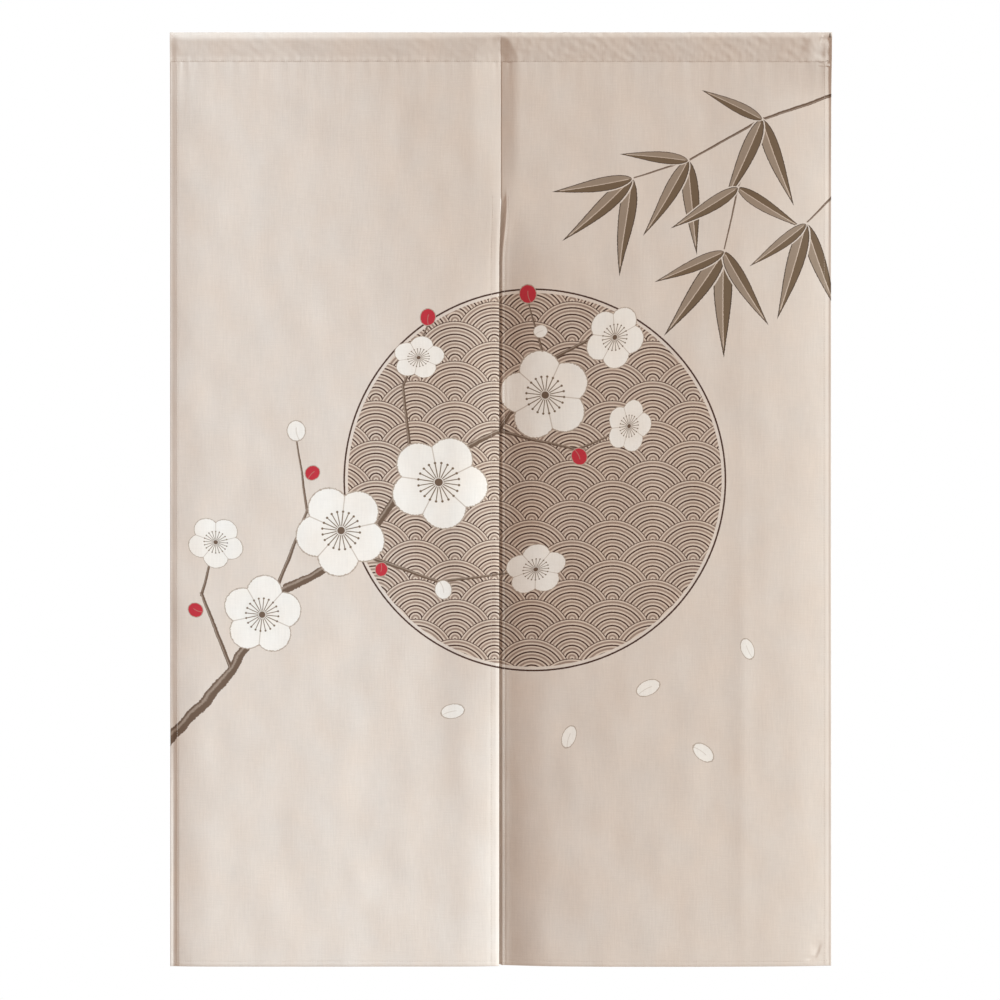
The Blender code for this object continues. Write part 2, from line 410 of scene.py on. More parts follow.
def hems(panel, from_outer, to_split, drop):
    """Relief of the outer, split and bottom hems."""
    to_foot = HEIGHT - drop
    low = ramp(drop, *panel.hem_change)
    outer = (1 - low) * stepped(from_outer, panel.outer_top) + low * stepped(from_outer, panel.outer_foot)
    outer += thread_line(from_outer - SIDE_HEM, drop, 1 + panel.side)
    split = stepped(to_split, panel.split) + thread_line(to_split - SPLIT_HEM, drop, 3 + panel.side)
    foot = stepped(to_foot, FOOT_HEM) + thread_line(to_foot - BOTTOM_HEM, from_outer, 5 + panel.side)
    return outer + split * ramp(drop, *SPLIT_HEM_STARTS) + foot


def seam_dip(panel, to_split, drop):
    """How far the seam draws the cloth back beside it, down to the slit, in place of the soft valley."""
    share = DIP_AT_ROD + (1 - DIP_AT_ROD) * ramp(drop, *DIP_WIDENS)
    dip = share * SEAM_DIP * np.maximum(1 - to_split / (share * panel.dip_width), 0) ** DIP_POWER
    dip = dip * ramp(drop, DIP_STARTS, DIP_FULL)
    return (dip - rolled(SEAM_VALLEY, to_split, drop)) * (1 - ramp(drop, *DIP_ENDS))


def pressed_crease(x, drop):
    """The upright crease that the right panel keeps from its packing: the cloth turns back outside it."""
    beyond = np.maximum(x - PRESSED_X, 0)
    return PRESSED_SLOPE * PRESSED_FADE * (1 - np.exp(-beyond / PRESSED_FADE)) * ramp(drop, *PRESSED_STARTS)


def left_swell(x, drop):
    """How far the left half stands out to the front round the pocket's foot."""
    grown = ROD_SWELL * ramp(drop, *ROD_SWELL_RISE) + FOOT_SWELL * ramp(drop, *FOOT_SWELL_RISE)
    return grown * np.exp(-np.maximum(drop - PANEL_TOP_DROP, 0) / SWELL_FADE) * (1 - ramp(x, *SWELL_STOPS))


def gathers(x, drop):
    below = np.maximum(drop - PANEL_TOP_DROP, 0)
    return sum(row.depth * np.exp(-below / row.fade) * uneven_wave(x, row.length, row.seed) for row in GATHERS)


def dents(x, drop):
    total = np.zeros_like(x)
    for dent in DENTS:
        lean = math.radians(dent.lean)
        across = (x - dent.x) * math.cos(lean) + (drop - dent.drop) * math.sin(lean)
        along = -(x - dent.x) * math.sin(lean) + (drop - dent.drop) * math.cos(lean)
        total += dent.depth * bump(across, dent.across) * bump(along, dent.along)
    return total


def crumple(x, drop, look):
    """All-over unevenness, mostly upright, as cloth keeps from its folding."""
    random = np.random.default_rng(look.seed)
    total = np.zeros_like(x)
    for _ in range(look.waves):
        length = random.uniform(look.shortest, look.longest)
        lean = random.normal(0.0, look.lean)
        phase = random.uniform(0, 2 * math.pi)
        bend = 0.35 * np.sin(2 * math.pi * drop / (3.1 * length) + 2 * phase)
        turn = 2 * math.pi * (x * math.cos(lean) + drop * math.sin(lean)) / length
        total += look.height * length * np.sin(turn + phase + bend)
    return total


def corner_crease(x, drop):
    """The crease at the right panel's foot: a slow dip, and a short wall to the thick corner beyond."""
    across, share = beside_path(x, drop, CORNER_CREASE)
    slow_width = CREASE_WALL + (CREASE_WIDTH - CREASE_WALL) * ramp(share, *CREASE_OPENS)
    slow = np.maximum(1 + across / slow_width, 0) ** 1.5
    valley = np.where(across < 0, slow, 1 - ramp(across, 0, CREASE_WALL))
    return CREASE_DEPTH * valley * ramp(share, *CREASE_GROWS) * (1 - ramp(share, *CREASE_FADES))


def panel_front(panel, from_outer, drop):
    """x, y and z of the front face of a panel."""
    width = panel_width(panel, drop)
    to_split = width - from_outer
    x = panel.side * (WIDTH / 2 - from_outer)
    setback = (
        main_folds(panel, from_outer, to_split, drop)
        + seam_dip(panel, to_split, drop)
        + hems(panel, from_outer, to_split, drop)
        + gathers(x, drop)
        + dents(x, drop)
        + crumple(x, drop, PANEL_CRUMPLE) * ramp(drop, *PANEL_CRUMPLE_STARTS)
        - left_swell(x, drop)
    )
    if panel is RIGHT:
        setback += corner_crease(x, drop) + pressed_crease(x, drop)
    return x, setback - SOLID_CLOTH, TOP_Z - drop


def panel_thickness(from_outer, to_split, drop):
    """One layer in the open cloth and the pressed hem's thickness round the edges."""
    inside = np.minimum.reduce([from_outer - SIDE_HEM, to_split - SPLIT_HEM, HEIGHT - drop - BOTTOM_HEM])
    return CLOTH * (1 + (HEM_LAYERS - 1) * (1 - ramp(inside, *HEM_FALL)))


def rounding(from_edge, thickness):
    """How much of the half thickness is left, so that an edge is round and its two faces meet."""
    share = np.clip(from_edge / (thickness / 2), 0, 1)
    return np.sqrt(1 - (1 - share) ** 2)


# ---------------------------------------------------------------- meshes


def steps(start, end, most):
    """Even steps from start to end, each no longer than most."""
    return np.linspace(start, end, max(1, math.ceil((end - start) / most)) + 1)


def edge_steps(thickness):
    """Distances from an edge: close together round it, then even across the hem."""
    radius = thickness / 2
    round_part = radius * (1 - np.cos(np.linspace(0, math.pi / 2, 4)))
    return np.concatenate([round_part[:-1], steps(radius, HEM_ZONE, GRID_HEM)])


def shares_across():
    """Column places, as shares of a panel's width from its outer edge."""
    edge = edge_steps(CLOTH * HEM_LAYERS)
    beside = steps(HEM_ZONE, BESIDE_ZONE, GRID_BESIDE)
    middle = steps(BESIDE_ZONE, WIDTH / 2 - HEM_ZONE, GRID_ACROSS)
    return np.concatenate([edge[:-1], beside[:-1], middle[:-1], WIDTH / 2 - edge[::-1]]) / (WIDTH / 2)


def drops_down():
    """Row places, as drops below the top edge."""
    top = POCKET_DROP + np.array([0.0, SQUARE_EDGE, 0.0006, 0.0014, 0.0030])
    foot = HEIGHT - edge_steps(CLOTH * HEM_LAYERS)[::-1]
    above_foot = HEIGHT - steps(HEM_ZONE, BESIDE_ZONE, GRID_BESIDE)[::-1]
    return np.concatenate([top[:-1], steps(top[-1], above_foot[0], GRID_DOWN)[:-1], above_foot[:-1], foot])


def grid_faces(index):
    """Quads over a grid of vertex numbers."""
    return np.stack([index[:-1, :-1], index[1:, :-1], index[1:, 1:], index[:-1, 1:]], axis=-1).reshape(-1, 4)


def both_faces(x, y, z, thickness, from_edge, inward=(1.0, 0.0)):
    """A sheet's two faces as grids of points: one through (x, y, z), and one inwards from it in y and z.

    They meet round its edges, and squarely along its first row.
    """
    half = thickness / 2 * rounding(from_edge, thickness)
    half[0] = 0
    depths = (thickness / 2 - half, thickness / 2 + half)
    return [np.stack([x, y + depth * inward[0], z + depth * inward[1]], axis=-1) for depth in depths]


def with_inside(outer, inner):
    """All points of one grid, and then those of the other that don't lie on its outline."""
    return np.concatenate([grid.reshape(-1, grid.shape[-1]) for grid in (outer, inner[1:-1, 1:-1])])


def add_object(name, data):
    obj = bpy.data.objects.new(name, data)
    bpy.context.scene.collection.objects.link(obj)
    return obj


def new_mesh(name, vertices, faces, material):
    mesh = bpy.data.meshes.new(name)
    mesh.from_pydata(vertices.tolist(), [], faces)
    mesh.shade_smooth()
    mesh.materials.append(material)
    return mesh


def write_uv(mesh, name, corners):
    layer = mesh.uv_layers.new(name=name)
    layer.data.foreach_set("uv", np.ascontiguousarray(corners, np.float32).ravel())


def make_sheet(name, front, back, flat, bake_scale, material):
    """A thin closed sheet between two grids that share their outline, and the flat places of its corners.

    It keeps those places, a map for baking with the back beside the front, and a mark on the wrong side.
    """
    rows, columns = front.shape[:2]
    front_index = np.arange(rows * columns).reshape(rows, columns)
    back_index = front_index.copy()
    back_index[1:-1, 1:-1] = rows * columns + np.arange((rows - 2) * (columns - 2)).reshape(rows - 2, -1)
    quads = np.concatenate([grid_faces(front_index), grid_faces(back_index)[:, ::-1]])
    mesh = new_mesh(name, with_inside(front, back), quads.tolist(), material)
    mesh.set_sharp_from_angle(angle=SHARP_ANGLE)

    corners = with_inside(flat, flat)[quads]
    wrong_side = np.repeat(np.float32([0, 1]), len(quads) // 2)
    low, high = flat.min((0, 1)), flat.max((0, 1))
    beside = wrong_side[:, None, None] * ((high[0] - low[0]) * BACK_SHIFT, 0.0)
    write_uv(mesh, "flat", corners)
    write_uv(mesh, "OFBake", 0.01 + (corners - low + beside) * bake_scale)
    mesh.attributes.new("wrong_side", "FLOAT", "FACE").data.foreach_set("value", wrong_side)
    return add_object(name, mesh), corners


def make_panel(panel, material):
    """A panel. Its round edges are its sides and foot: its top edge is square and meets the pocket's."""
    share, drop = np.meshgrid(shares_across(), drops_down())
    width = panel_width(panel, drop)
    from_outer = share * width
    thickness = panel_thickness(from_outer, width - from_outer, drop)
    from_edge = np.minimum.reduce([from_outer, width - from_outer, HEIGHT - drop])
    front, back = both_faces(*panel_front(panel, from_outer, drop), thickness, from_edge)
    flat = np.stack([panel.side * (1 - share) * WIDTH / 2, -drop], axis=-1)
    if panel.side > 0:  # so that the columns run from left to right on both panels
        front, back, flat = front[:, ::-1], back[:, ::-1], flat[:, ::-1]
    cloth, corners = make_sheet(panel.node + "_cloth", front, back, flat, PANEL_BAKE, material)
    for name, stamps in print_layers().items():
        write_stamps(cloth.data, name, stamps, corners)
    return cloth


# ---------------------------------------------------------------- rod pocket


def pocket_section():
    """The pocket's outer face in section, as (y, z), from its front foot over the rod to the flap's end."""
    radius = ROD_RADIUS + SOLID_CLOTH
    foot_z = TOP_Z - POCKET_DROP
    front = (-SOLID_CLOTH, foot_z)
    back = (BACK_FOOT_Y, foot_z + BACK_FOOT_RISE)
    end = (FLAP_END_Y, foot_z - FLAP)

    front_angle = math.atan2(-front[0], front[1]) - math.acos(radius / math.hypot(*front))
    back_angle = math.atan2(-back[0], back[1]) + math.acos(radius / math.hypot(*back))
    if back_angle > 0:
        back_angle -= 2 * math.pi
    on_front, on_arc, on_back, on_flap = SECTION_POINTS
    angles = np.linspace(front_angle, back_angle, on_arc)
    arc = np.stack([-radius * np.sin(angles), radius * np.cos(angles)], axis=-1)
    front_wall = np.linspace(front, arc[0], on_front)[:-1]
    back_wall = np.linspace(arc[-1], back, on_back)[1:]
    return np.concatenate([front_wall, arc, back_wall, np.linspace(back, end, on_flap)[1:]])


def make_pocket(material):
    section = pocket_section()
    along = np.concatenate([[0], np.cumsum(np.linalg.norm(np.diff(section, axis=0), axis=1))])
    # The foot in front is square and meets the panels, and the flap's end is round.
    edge = CLOTH / 2 * (1 - np.cos(np.linspace(0, math.pi / 2, 4)))
    stations = np.unique(np.concatenate([[0, SQUARE_EDGE], along[1:-1], along[-1] - edge[::-1]]))
    ends = edge_steps(CLOTH)[:6]
    columns = np.concatenate([
        -WIDTH / 2 + ends,
        steps(-WIDTH / 2 + ends[-1], WIDTH / 2 - POCKET_END, POCKET_GRID)[1:-1],
        steps(WIDTH / 2 - POCKET_END, WIDTH / 2 - ends[-1], POCKET_END_GRID)[:-1],
        WIDTH / 2 - ends,
        np.arange(-6, 7) * POCKET_SEAM_GRID,
    ])
    x, station = np.meshgrid(np.unique(np.round(columns, 6)), stations)
    y = np.interp(station, along, section[:, 0])
    z = np.interp(station, along, section[:, 1])
    normal_y = np.gradient(z, axis=0)
    normal_z = -np.gradient(y, axis=0)
    length = np.hypot(normal_y, normal_z)
    normal_y, normal_z = -normal_y / length, -normal_z / length
    proud = pocket_relief(x, station, along[-1])
    in_front = station < along[section[:, 1].argmax()]
    setback = both_dips(x, TOP_Z - z) + np.where(in_front, front_setback(x, TOP_Z - z), 0)
    y, z = y + setback + proud * normal_y, z + proud * normal_z
    from_edge = np.minimum.reduce([x + WIDTH / 2, WIDTH / 2 - x, along[-1] - station])
    outer, inner = both_faces(x, y, z, CLOTH, from_edge, (-normal_y, -normal_z))
    flat = np.stack([x, station - POCKET_DROP], axis=-1)
    return make_sheet("rod_pocket_cloth", outer[::-1], inner[::-1], flat[::-1], POCKET_BAKE, material)[0]


def pocket_relief(x, station, length):
    """How far the pocket's cloth stands off its plain section."""
    to_back = length - station
    wall = bump(station - FRONT_WALL[0], FRONT_WALL[1]) + bump(to_back - BACK_WALL[0], BACK_WALL[1])
    wave = WALL_WAVE[0] * wall * uneven_wave(x, WALL_WAVE[1], 2)
    foot = FOOT_PUCKER[0] * bump(station, FOOT_PUCKER[1]) * uneven_wave(x, FOOT_PUCKER[2], 9)
    crumpled = ramp(station, *CRUMPLE_STARTS) * ramp(to_back, *CRUMPLE_STOPS)
    crumpled = crumpled * (LEFT_CRUMPLE + (1 - LEFT_CRUMPLE) * ramp(x, *LEFT_CRUMPLE_ENDS))
    return wave + foot + crumple(x, station, POCKET_CRUMPLE) * crumpled


def both_dips(x, drop):
    """How far the seam between the panels draws back what is sewn to it."""
    return np.where(x < 0, seam_dip(LEFT, -x, drop), seam_dip(RIGHT, x, drop))


def front_setback(x, drop):
    """How far the pocket's front lies behind its plain section: groove, ends and the left half's swell."""
    groove_x, groove_depth, half_width = SEAM_GROOVE
    groove = groove_depth * bump(x - groove_x, half_width) * ramp(drop, DIP_STARTS, DIP_FULL)
    ends = stepped(WIDTH / 2 - x, RIGHT.outer_top) + stepped(WIDTH / 2 + x, LEFT.outer_top)
    return groove + ends * ramp(drop, *END_HEM_STARTS) + drawn_end(x, drop) - left_swell(x, drop)


def pocket_front(x, drop):
    """Points on the front of the pocket."""
    section = pocket_section()
    rising = section[: section[:, 1].argmax() + 1]
    z = TOP_Z - drop
    y = np.interp(z, rising[:, 1], rising[:, 0])
    return np.stack([x, y + both_dips(x, drop) + front_setback(x, drop), z], axis=-1)


def drawn_end(x, drop):
    """How far back the right end of the pocket's front is drawn by its sewing."""
    on_wall = ramp(drop, *END_STARTS) * (1 - ramp(drop, *END_STOPS))
    across, _ = beside_path(x, drop, END_FALL)
    fall = END_FALL_DEPTH * ramp(across, -END_FALL_HALF, END_FALL_HALF)
    below = drop - END_RIDGE[1]
    beside = x - END_RIDGE[0] + END_RIDGE_LEAN * below
    ridge = bump(beside, END_RIDGE_HALVES[0]) * bump(below, END_RIDGE_HALVES[1])
    rise = END_RETURN_DEPTH * ramp(x, *END_RETURN) * ramp(drop, *END_RETURN_DROPS)
    return on_wall * (fall - END_RIDGE_DEPTH * ridge - rise)


# ---------------------------------------------------------------- sewing


def stitch_template(sides=5, rings=(0.0, 0.30, 0.70, 1.0), widths=(0.25, 1.0, 1.0, 0.25)):
    """A short rounded length of thread along its first axis, ends sunk a little: points and faces."""
    points, faces = [], []
    for at, wide in zip(rings, widths):
        for side in range(sides):
            turn = 2 * math.pi * side / sides
            lift = 1.1 * math.sin(math.pi * at) - 0.35
            points.append((at - 0.5, wide * math.cos(turn), wide * math.sin(turn) + lift))
    for ring in range(len(rings) - 1):
        for side in range(sides):
            a, b = ring * sides + side, ring * sides + (side + 1) % sides
            faces.append((a, a + sides, b + sides, b))
    last = (len(rings) - 1) * sides
    return np.array(points), faces, [tuple(range(sides)), tuple(range(last + sides - 1, last - 1, -1))]


def stitches(path, outward, pitch=STITCH_PITCH, length=STITCH_LENGTH):
    """Threads laid end to end along a path of points, standing out on the side that outward points to."""
    template, quads, caps = stitch_template()
    along = np.concatenate([[0], np.cumsum(np.linalg.norm(np.diff(path, axis=0), axis=1))])
    middles = np.arange(pitch / 2, along[-1], pitch)
    at = np.stack([np.interp(middles, along, path[:, axis]) for axis in range(3)], axis=-1)
    ahead = np.stack([np.interp(middles + pitch / 4, along, path[:, axis]) for axis in range(3)], axis=-1)
    forward = ahead - at
    forward /= np.linalg.norm(forward, axis=1, keepdims=True)
    side = np.cross(forward, outward)
    side /= np.linalg.norm(side, axis=1, keepdims=True)
    up = np.cross(side, forward)
    points = (
        at[:, None]
        + template[None, :, :1] * length * forward[:, None]
        + template[None, :, 1:2] * THREAD_RADIUS * side[:, None]
        + template[None, :, 2:] * THREAD_RADIUS * up[:, None]
    )
    faces = []
    for number in range(len(middles)):
        shift = number * len(template)
        faces += [tuple(shift + i for i in face) for face in quads + caps]
    return points.reshape(-1, 3), faces


def join_stitches(name, rows, material):
    """One object from several rows of stitches, each a (points, faces) pair."""
    faces, count = [], 0
    for points, row in rows:
        faces += [tuple(count + i for i in face) for face in row]
        count += len(points)
    return add_object(name, new_mesh(name, np.concatenate([points for points, _ in rows]), faces, material))


def panel_path(panel, from_outer, drop, behind=False):
    """Points on the front or the back of a panel."""
    x, y, z = panel_front(panel, from_outer, drop)
    if behind:
        y = y + panel_thickness(from_outer, panel_width(panel, drop) - from_outer, drop)
    return np.stack([x, y, z], axis=-1)


def panel_stitch_rows(panel):
    """The rows of the outer, split and bottom hems, on the front and then on the back."""
    free_top, free_foot, free_outer, free_split = ROW_ENDS
    down = steps(PANEL_TOP_DROP + free_top, HEIGHT - free_foot, ROW_STEP)
    slit = steps(SEAM_DROP, HEIGHT - free_foot, ROW_STEP)
    across = steps(free_outer, WIDTH / 2 - free_split, ROW_STEP)
    places = (
        (np.full_like(down, SIDE_HEM - ROW_INSET), down),
        (panel_width(panel, slit) - SPLIT_HEM + ROW_INSET, slit),
        (across, np.full_like(across, HEIGHT - BOTTOM_HEM)),
    )
    return [
        stitches(panel_path(panel, *place, behind), outward)
        for behind, outward in ((False, (0, -1, 0)), (True, (0, 1, 0)))
        for place in places
    ]


def pocket_stitch_rows():
    across = steps(-WIDTH / 2 + ROW_STEP, WIDTH / 2 - ROW_STEP, ROW_STEP)
    drop = np.full_like(across, POCKET_DROP - POCKET_ROW)
    front = pocket_front(across, drop)
    behind = np.stack([across, BACK_FOOT_Y + both_dips(across, drop), TOP_Z - drop], axis=-1)
    return [stitches(front, (0, -1, 0), POCKET_PITCH), stitches(behind, (0, 1, 0), POCKET_PITCH)]


def tack(x, drop, half_width, half_height):
    """A bar of close stitches to and fro across the front of the pocket."""
    turns = math.ceil(2 * half_height / TACK_PITCH)
    side = np.where(np.arange(turns) % 2, half_width, -half_width)
    down = np.linspace(drop - half_height, drop + half_height, turns)
    path = pocket_front(x + side, down) - (0, THREAD_RADIUS, 0)
    across = math.hypot(2 * half_width, TACK_PITCH)
    return stitches(path, (0, -1, 0), across, across)


def make_seam_allowance(material):
    """The edges of the two panels turned to one side and pressed flat behind the seam."""
    down = steps(PANEL_TOP_DROP + 0.001, SEAM_DROP + 0.004, 0.005)
    drop, across = np.meshgrid(down, steps(*ALLOWANCE, 0.0010), indexing="ij")
    from_outer = WIDTH / 2 + across
    y = panel_front(LEFT, np.minimum(from_outer, panel_width(LEFT, drop)), drop)[1]
    y = y + panel_thickness(from_outer, panel_width(LEFT, drop) - from_outer, drop)
    y = np.maximum(y, y[:, 2:3] - 0.0004)  # it spans what lies deeper than its outer strip
    from_edge = np.minimum.reduce([across - ALLOWANCE[0], ALLOWANCE[1] - across, drop - down[0], down[-1] - drop])
    near, far = both_faces(across, y, TOP_Z - drop, 2 * CLOTH, from_edge)
    flat = np.stack([across, -drop], axis=-1)
    return make_sheet("seam_allowance", near, far, flat, ALLOWANCE_BAKE, material)[0]


# ---------------------------------------------------------------- print: what goes where


def twig(points, base, tip):
    """Twig stamps along a path of (x, drop) points, one for each straight part, tapering from base to tip."""
    lengths = [math.dist(a, b) for a, b in zip(points, points[1:])]
    total, done, stamps = sum(lengths), 0.0, []
    for (a, b), length in zip(zip(points, points[1:]), lengths):
        start = base + (tip - base) * done / total
        done += length
        end = base + (tip - base) * done / total
        angle = math.degrees(math.atan2(a[1] - b[1], b[0] - a[0]))
        stamps.append(Stamp("twig", *a, angle, length, start, end / start))
    return stamps


def fan(x, drop, *leaves):
    """Bamboo leaves from one point, each an (angle, length, bend)."""
    return [Stamp("leaf", x, drop, angle, length, 0.088 * length, bend) for angle, length, bend in leaves]


def blossom(x, drop, radius, angle, squash=1.0):
    return Stamp("bloom", x, drop, angle, radius, radius * squash, 0.0)


def bud(x, drop, radius, angle, red=0.0, squash=0.9):
    return Stamp("bud", x, drop, angle, radius, radius * squash, red)


# Each a path and its half widths at the base and the tip
PLUM_BRANCH = (
    (
        (-0.432, 0.915), (-0.345, 0.820), (-0.290, 0.722), (-0.182, 0.668), (-0.112, 0.566), (0.002, 0.512),
        (0.062, 0.424), (0.150, 0.378),
    ),
    0.0072,
    0.0016,
)
PLUM_TWIGS = (
    (((-0.345, 0.820), (-0.384, 0.722), (-0.362, 0.640)), 0.0028, 0.0012),
    (((-0.290, 0.722), (-0.248, 0.615), (-0.262, 0.520)), 0.0026, 0.0010),
    (((-0.182, 0.668), (-0.078, 0.706), (0.044, 0.691)), 0.0026, 0.0010),
    (((-0.112, 0.566), (-0.124, 0.455), (-0.092, 0.376)), 0.0024, 0.0010),
    (((0.002, 0.512), (0.102, 0.536), (0.172, 0.506)), 0.0022, 0.0009),
    (((0.062, 0.424), (0.040, 0.345)), 0.0018, 0.0009),
)
BAMBOO_STEMS = (
    (((0.432, 0.078), (0.335, 0.112), (0.240, 0.165), (0.168, 0.188)), 0.0022, 0.0009),
    (((0.335, 0.112), (0.304, 0.200), (0.288, 0.282)), 0.0016, 0.0008),
    (((0.432, 0.205), (0.392, 0.246)), 0.0016, 0.0009),
)
BAMBOO_LEAVES = (
    fan(0.168, 0.188, (-98, 0.126, 0.5), (-134, 0.118, -0.6), (-168, 0.104, -0.5))
    + fan(0.240, 0.165, (-86, 0.122, 0.5), (-118, 0.112, -0.4), (172, 0.088, 0.5))
    + fan(0.335, 0.112, (-72, 0.118, 0.5), (-112, 0.120, -0.5), (152, 0.086, 0.4))
    + fan(0.288, 0.282, (-122, 0.132, -0.6), (-92, 0.136, 0.4), (-62, 0.110, 0.6), (-154, 0.096, -0.4))
    + fan(0.304, 0.200, (-34, 0.098, 0.5), (-146, 0.100, -0.5))
    + fan(0.392, 0.246, (-104, 0.128, -0.5), (-72, 0.118, 0.4), (-140, 0.090, -0.5))
)
BLOSSOMS = (
    blossom(-0.306, 0.748, 0.050, 12),
    blossom(-0.204, 0.640, 0.058, 48),
    blossom(-0.078, 0.578, 0.063, -8, 0.94),
    blossom(0.062, 0.466, 0.057, 30),
    blossom(0.150, 0.392, 0.041, 62, 0.86),
    blossom(-0.366, 0.655, 0.036, -20, 0.9),
    blossom(0.050, 0.690, 0.039, 20, 0.8),
    blossom(0.168, 0.506, 0.034, 75, 0.8),
    blossom(-0.104, 0.418, 0.033, 8, 0.82),
)
BUDS = (
    bud(-0.262, 0.512, 0.0125, 95),
    bud(-0.241, 0.566, 0.0095, 40, 1.0),
    bud(-0.092, 0.366, 0.0105, 80, 1.0),
    bud(0.040, 0.336, 0.0115, 95, 1.0),
    bud(0.056, 0.384, 0.0085, 20, 0.0),
    bud(0.105, 0.545, 0.0105, -70, 1.0),
    bud(-0.072, 0.716, 0.0115, -80, 0.0),
    bud(-0.152, 0.690, 0.0085, -100, 1.0),
    bud(-0.392, 0.742, 0.0095, 150, 1.0),
    bud(0.192, 0.842, 0.0150, 25, 0.0, 0.60),
    bud(0.262, 0.925, 0.0145, -40, 0.0, 0.62),
    bud(0.092, 0.905, 0.0140, 70, 0.0, 0.58),
    bud(-0.060, 0.872, 0.0145, 10, 0.0, 0.60),
    bud(0.318, 0.792, 0.0130, 110, 0.0, 0.60),
)


def print_layers():
    """Stamps by layer, from the lowest up, so that neighbours which touch are never in one layer."""
    branch = twig(*PLUM_BRANCH)
    side = [stamp for path in PLUM_TWIGS + BAMBOO_STEMS for stamp in twig(*path)]
    twigs = {"twig_b": branch[1::2] + side[1::2], "twig_a": branch[0::2] + side[0::2]}
    leaves = {f"leaf_{number}": layer for number, layer in enumerate(leaf_layers())}
    return {**twigs, **leaves, "bud": BUDS, "bloom": BLOSSOMS}


def leaf_layers():
    """The leaves dealt out to as few layers as keep those of one layer clear of each other."""
    layers = []
    for leaf in BAMBOO_LEAVES:
        free = [layer for layer in layers if all(apart(leaf, other) for other in layer)]
        if free:
            free[0].append(leaf)
        else:
            layers.append([leaf])
    return layers


def apart(leaf, other):
    """Whether no face of the mesh can lie on both of these leaves."""
    u = np.linspace(0, 1, 16)
    v = leaf.extra * u * u
    turn = math.radians(leaf.angle)
    along, across = u * leaf.length, v * leaf.half_width
    x = leaf.x + along * math.cos(turn) - across * math.sin(turn)
    z = -leaf.drop + along * math.sin(turn) + across * math.cos(turn)
    return stamp_distance(other, np.stack([x, z], axis=-1)).min() > leaf.half_width + LEAF_GAP


def stamp_coordinates(stamp, points):
    """Places of (x, -drop) points in a stamp's own coordinates."""
    turn = math.radians(stamp.angle)
    dx, dz = points[..., 0] - stamp.x, points[..., 1] + stamp.drop
    u = (dx * math.cos(turn) + dz * math.sin(turn)) / stamp.length
    v = (dz * math.cos(turn) - dx * math.sin(turn)) / stamp.half_width
    return u, v


def stamp_distance(stamp, points):
    """About how far points lie outside a stamp, in metres."""
    u, v = stamp_coordinates(stamp, points)
    if stamp.kind in ("bloom", "bud"):
        return (np.hypot(u, v) - 1) * stamp.half_width
    if stamp.kind == "leaf":
        v = v - stamp.extra * u * u
    beyond = np.maximum(0, np.maximum(-u, u - 1))
    return np.hypot(beyond * stamp.length, v * stamp.half_width) - stamp.half_width


def write_stamps(mesh, name, stamps, corners):
    """Gives each face's own corners the coordinates of the stamp nearest to it, so that no edge is blurred."""
    middles = corners.mean(axis=1)
    nearest = np.argmin([stamp_distance(stamp, middles) for stamp in stamps], axis=0)
    values = np.zeros((len(corners), 4, 3), np.float32)
    for number, stamp in enumerate(stamps):
        mine = nearest == number
        u, v = stamp_coordinates(stamp, corners[mine])
        values[mine] = np.stack([u, v, np.full_like(u, stamp.extra)], axis=-1)
    mesh.attributes.new(name, "FLOAT_VECTOR", "CORNER").data.foreach_set("vector", values.ravel())


# ---------------------------------------------------------------- node arithmetic


def math_method(operation, *fixed):
    """A method of Number that adds one Math node, with fixed operands after those that it is given."""

    def method(self, *others):
        return self.math(operation, *others, *fixed)

    return method


class Number:
    """A number that varies over a surface. Arithmetic on it adds Math nodes to its tree."""

    __add__ = math_method("ADD")
    __sub__ = math_method("SUBTRACT")
    __mul__ = math_method("MULTIPLY")
    __truediv__ = math_method("DIVIDE")
    __pow__ = math_method("POWER")
    __neg__ = math_method("MULTIPLY", -1.0)
    __abs__ = math_method("ABSOLUTE")
    sine = math_method("SINE")
    cosine = math_method("COSINE")
    folded = math_method("PINGPONG")
    least = math_method("MINIMUM")
    most = math_method("MAXIMUM")

    def __init__(self, socket):
        self.socket = socket
        self.tree = socket.id_data

    def math(self, operation, *others, clamp=False):
        node = self.tree.nodes.new("ShaderNodeMath")
        node.operation = operation
        node.use_clamp = clamp
        for slot, item in zip(node.inputs, (self, *others)):
            if isinstance(item, Number):
                self.tree.links.new(item.socket, slot)
            else:
                slot.default_value = item
        return Number(node.outputs[0])

    def clamped(self):
        return self.math("ADD", 0.0, clamp=True)

    def below(self, limit, soft):
        """1 where this is under the limit and 0 over it, with a narrow soft edge."""
        return ((-self + limit) / soft + 0.5).clamped()


def hypotenuse(a, b):
    return (a * a + b * b).math("SQRT")


def node_of(tree, kind, **settings):
    node = tree.nodes.new("ShaderNode" + kind)
    for name, value in settings.items():
        setattr(node, name, value)
    return node


def split_vector(socket):
    node = node_of(socket.id_data, "SeparateXYZ")
    socket.id_data.links.new(socket, node.inputs[0])
    return [Number(output) for output in node.outputs]


def mixed(share, under, over):
    """The colour under with the colour over laid on it by share. A colour is a socket or three numbers."""
    tree = share.tree
    node = node_of(tree, "Mix", data_type="RGBA")
    tree.links.new(share.socket, node.inputs[0])
    for slot, colour in ((node.inputs[6], under), (node.inputs[7], over)):
        if isinstance(colour, tuple):
            slot.default_value = (*colour, 1.0)
        else:
            tree.links.new(colour, slot)
    return node.outputs[2]


def painted(under, *coats):
    """The colour under with coats laid on it in turn, each a (share, colour)."""
    for share, colour in coats:
        under = mixed(share, under, colour)
    return under


